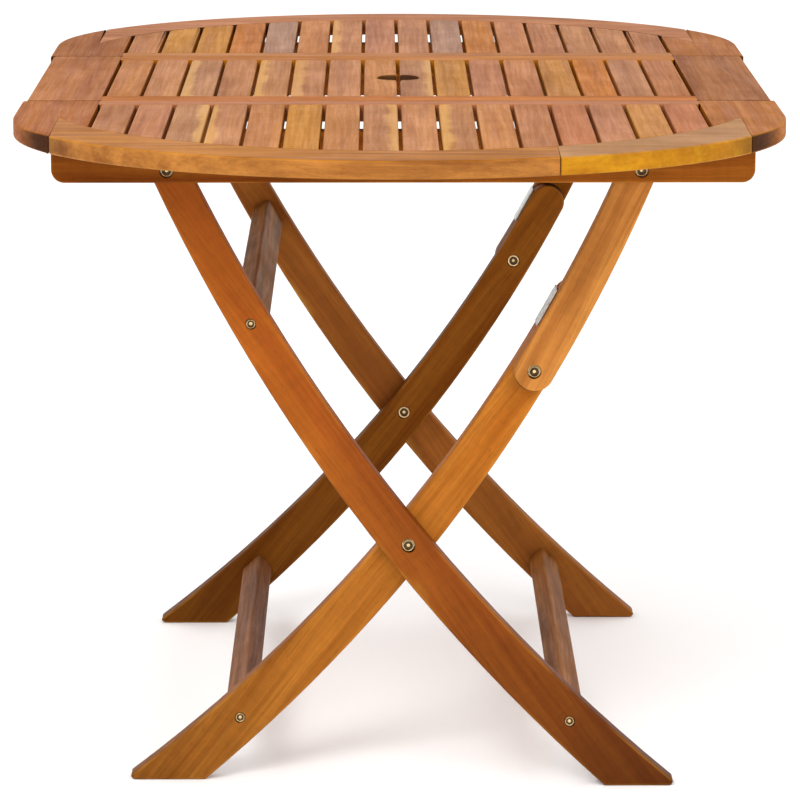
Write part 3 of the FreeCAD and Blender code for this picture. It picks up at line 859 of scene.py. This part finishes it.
# node: thickness axis, grain, rounding, slot, tones, seed
BOARDS = {
    "front_bow_rail": ("z", "x", SOFT, "amber_wood", "5", 1),
    "front_bow_rail_end": ("z", "x", SOFT, "yellow_wood", "1", 2),
    "front_inner_rail": ("z", "x", SOFT, "top_wood", "p", 3),
    "front_end_board_left": ("z", "y", SOFT, "top_wood", "7", 4),
    "front_end_board_right": ("z", "y", SOFT, "top_wood", "7", 5),
    "front_slats": ("z", "y", SOFT, "top_wood", SLATS["front_slats"], 6),
    "mid_rail_front": ("z", "x", SOFT, "top_wood", "o", 7),
    "mid_rail_rear": ("z", "x", SOFT, "top_wood", "o", 8),
    "mid_end_board_left": ("z", "y", SOFT, "top_wood", "7", 9),
    "mid_end_board_right": ("z", "y", SOFT, "top_wood", "8", 10),
    "mid_slats": ("z", "y", SOFT, "top_wood", SLATS["mid_slats"], 11),
    "mid_hole_slats": ("z", "y", SOFT, "top_wood", SLATS["mid_hole_slats"], 12),
    "rear_bow_rail": ("z", "x", SOFT, "top_wood", "p", 13),
    "rear_inner_rail": ("z", "x", SOFT, "top_wood", "t", 14),
    "rear_end_board_left": ("z", "y", SOFT, "top_wood", "8", 15),
    "rear_end_board_right": ("z", "y", SOFT, "top_wood", "7", 16),
    "rear_slats": ("z", "y", SOFT, "top_wood", SLATS["rear_slats"], 17),
    "batten_left": ("z", "y", BATTEN_SOFT, "grey_wood", "t", 18),
    "batten_right": ("z", "y", BATTEN_SOFT, "grey_wood", "p", 19),
    "apron_front": ("y", "x", APRON_SOFT, "amber_wood", "4", 20),
    "apron_rear": ("y", "x", APRON_SOFT, "amber_wood", "4", 21),
    "outer_leg_front": ("y", "chord", LEG_SOFT, "red_wood", "1", 22),
    "outer_leg_rear": ("y", "chord", LEG_SOFT, "red_wood", "3", 23),
    "inner_leg_front": ("y", "chord", LEG_SOFT, "gold_wood", "1", 24),
    "inner_leg_rear": ("y", "chord", LEG_SOFT, "gold_wood", "2", 25),
    "knee_link_front": ("y", "chord", LEG_SOFT, "gold_wood", "6", 26),
    "knee_link_rear": ("y", "chord", LEG_SOFT, "gold_wood", "2", 27),
    "outer_upper_stretcher": ("y", "y", SOFT, "grey_wood", "6", 28),
    "outer_lower_stretcher": ("y", "y", SOFT, "grey_wood", "t", 29),
    "inner_stretcher": ("y", "y", SOFT, "grey_wood", "b", 30),
}

# Profiles of turned metal: radius, depth below the face, and painted shade up to the next row.
SOCKET = ((0.0, 0.0026, 0.1), (0.0017, 0.0026, 0.7), (0.0022, 0.0013, 1.0))
DISH_DEEP = 0.0012
LIP_DEEP = 0.0004             # where the steep wall of the dish turns into its lip
LIP_IN, LIP_OUT = 0.0002, 0.0007    # width of that wall, and of wall and lip
RIM_WIDE, RIM_DEEP = 0.0006, 0.0005
BARREL_FLOOR = 0.0002         # metal left between a barrel nut's head and its hollow
SHANK_SHADE = 0.4
END = -1.0                    # stands for the far end of a bolt
# head: outer radius, radius of its dish, depth of the head, radius of its shank and of the
# hollow that the shank of a barrel nut has
HEADS = {
    "pivot": (0.0063, 0.0048, 0.0035, 0.0040, 0.0),
    "small": (0.0052, 0.0037, 0.0032, 0.0030, 0.0),
    "barrel": (0.0072, 0.0050, 0.0032, 0.0055, 0.0041),
}
TURNED = {
    "pivot_bolts": "pivot", "cross_bolts": "pivot", "knee_bolt_front": "pivot",
    "knee_bolt_rear": "pivot", "outer_stretcher_bolts": "small",
    "inner_stretcher_bolts": "small", "cross_nuts": "barrel", "knee_nut_front": "barrel",
    "knee_nut_rear": "barrel",
}
MIDDLE = 0.2                  # twice the y between the two leg frames
BROKEN = 0.0004               # broken edge of the other fittings
BROKEN_FROM = math.radians(35)


def turned_ring(board, centre, radius, height, outwards, upwards, recess_shade):
    """Points of one circle of a turned solid, or the single point on its axis."""
    ring = []
    for k in range(HOLE_SEGMENTS if radius else 1):
        turn = 2 * math.pi * k / HOLE_SEGMENTS
        spoke = Vector((math.cos(turn), math.sin(turn)))
        tilt = spoke * outwards if radius else (0, 0)
        ring.append(board.add(centre + radius * spoke, height, tilt, upwards, recess_shade))
    return ring


def turned(board, centre, face, way, end, profile):
    """A solid turned about an axis along Y; depths run from the face towards the end."""
    length = abs(end - face)
    line = [(r, length if d == END else d, recess_shade) for r, d, recess_shade in profile]
    for (r0, d0, recess_shade), (r1, d1, _) in zip(line, line[1:]):
        if abs(r0 - r1) + abs(d0 - d1) < WELD:
            continue
        tilt = (d1 - d0, -way * (r1 - r0), recess_shade)
        first = turned_ring(board, centre, r0, face + way * d0, *tilt)
        last = turned_ring(board, centre, r1, face + way * d1, *tilt)
        if len(first) == len(last):
            board.strip(first, last)
            continue
        rim, tip = (first, last[0]) if len(last) == 1 else (last, first[0])
        for here, after in zip(rim, rim[1:] + rim[:1]):
            board.face([here, after, tip])


def make_turned(node, slot, profile):
    """Replace the bolts or nuts of a CAD node with finely turned ones at the same places."""
    board = Board()
    for index, faces in enumerate(solids(node)):
        points = [p for corners, _ in faces for p in corners]
        low, high = min(p.y for p in points), max(p.y for p in points)
        zs, xs = [p.z for p in points], [p.x for p in points]
        centre = Vector(((min(zs) + max(zs)) / 2, (min(xs) + max(xs)) / 2))
        outwards = -1 if low + high < MIDDLE else 1
        if "nut" in node:
            outwards = -outwards
        face, end = (low, high) if outwards < 0 else (high, low)
        board.start(ACROSS["y"], GRAIN_WAYS["y"], PLAIN_LOOK, index)
        turned(board, centre, face, -outwards, end, profile)
        board.finish()
    stand_in(board.make(node + "_turned", METALS[slot]), node, slot)


def head(rim, dish, deep, shank, hollow):
    """Profile of a socket head and its shank."""
    inner = deep + BARREL_FLOOR if hollow else END
    return [*SOCKET, (dish, DISH_DEEP, 0.9), (dish + LIP_IN, LIP_DEEP, 0.2),
            (dish + LIP_OUT, 0.0, 0.0), (rim - RIM_WIDE, 0.0, 0.0), (rim, RIM_DEEP, 0.3),
            (rim, deep, 0.6), (shank, deep, SHANK_SHADE), (shank, END, SHANK_SHADE),
            (hollow, END, SHANK_SHADE), (hollow, inner, SHANK_SHADE), (0.0, inner, SHANK_SHADE)]


def break_edges(obj, slot):
    """Give a CAD fitting its metal and broken edges."""
    for holder in obj.material_slots:
        holder.material = METALS[slot]
    weld = obj.modifiers.new("weld", "WELD")
    weld.merge_threshold = WELD
    bevel = obj.modifiers.new("edges", "BEVEL")
    bevel.width = BROKEN
    bevel.segments = 2
    bevel.limit_method = "ANGLE"
    bevel.angle_limit = BROKEN_FROM
    obj.modifiers.new("shade", "WEIGHTED_NORMAL").keep_sharp = False


def make_metal():
    """Turned bolts and nuts; other CAD fittings keep their shape."""
    for node, word in TURNED.items():
        make_turned(node, "brass", head(*HEADS[word]))
    for name, obj in frame["nodes"].items():
        if name not in BOARDS and name not in TURNED:
            break_edges(obj, "brass" if "washer" in name else "zinc")


# ------------------------------------------------------------ floor, light and camera

FLOOR_HALF = 30.0
FLOOR_COLOUR = (0.97, 0.97, 0.97, 1)
FLOOR_ROUGH = 0.9
FLOOR_SPECULAR = 0.1
WORLD_STRENGTH = 1.15
# lamp: place, target, diameter, watts
LAMPS = {
    "key": ((-1.4, -3.6, 3.2), (0, 0, 0.6), 2.0, 110),
    "fill": ((2.2, -3.4, 1.8), (0, 0, 0.5), 2.4, 50),
}
SENSOR, LENS = 36.0, 198.0    # millimetres
CAMERA_AT = (-0.02456, -4.9764, 1.3547)
CAMERA_DOWN, CAMERA_TURN = 11.122, -0.3067      # degrees


def plain_floor():
    """A wide white floor."""
    far = FLOOR_HALF
    mesh = bpy.data.meshes.new("floor")
    mesh.from_pydata([(-far, -far, 0), (far, -far, 0), (far, far, 0), (-far, far, 0)],
                     [], [(0, 1, 2, 3)])
    floor = bpy.data.objects.new("floor", mesh)
    bpy.context.scene.collection.objects.link(floor)
    tree = Tree("floor")
    tree.shader.inputs["Base Color"].default_value = FLOOR_COLOUR
    tree.shader.inputs["Roughness"].default_value = FLOOR_ROUGH
    tree.shader.inputs["Specular IOR Level"].default_value = FLOOR_SPECULAR
    mesh.materials.append(tree.material)
    floor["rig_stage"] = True


def area_light(name, spot, target, size, power):
    """A round lamp at a spot, turned towards its target."""
    lamp = bpy.data.lights.new(name, "AREA")
    lamp.shape = "DISK"
    lamp.size = size
    lamp.energy = power
    obj = bpy.data.objects.new(name, lamp)
    obj.location = spot
    obj.rotation_euler = (Vector(target) - Vector(spot)).to_track_quat("-Z", "Y").to_euler()
    bpy.context.scene.collection.objects.link(obj)


def studio():
    """White surroundings and two soft lamps."""
    world = bpy.data.worlds.new("studio")
    bpy.context.scene.world = world
    world.use_nodes = True
    backdrop = world.node_tree.nodes["Background"]
    backdrop.inputs["Color"].default_value = (1, 1, 1, 1)
    backdrop.inputs["Strength"].default_value = WORLD_STRENGTH
    for name, settings in LAMPS.items():
        area_light(name, *settings)
    bpy.context.scene.view_settings.view_transform = "Standard"


def camera():
    """A long lens, looking a little down at the front end of the table."""
    data = bpy.data.cameras.new("camera")
    data.sensor_width = SENSOR
    data.lens = LENS
    obj = bpy.data.objects.new("camera", data)
    obj.location = CAMERA_AT
    obj.rotation_euler = (math.radians(90 - CAMERA_DOWN), 0, math.radians(CAMERA_TURN))
    bpy.context.scene.collection.objects.link(obj)
    bpy.context.scene.camera = obj


for node, settings in BOARDS.items():
    make_boards(node, *settings)
make_metal()
plain_floor()
studio()
camera()

boxes = {"cad": CAD_BOX, "visual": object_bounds()}
{word: [list(corner) for corner in box] for word, box in boxes.items()}
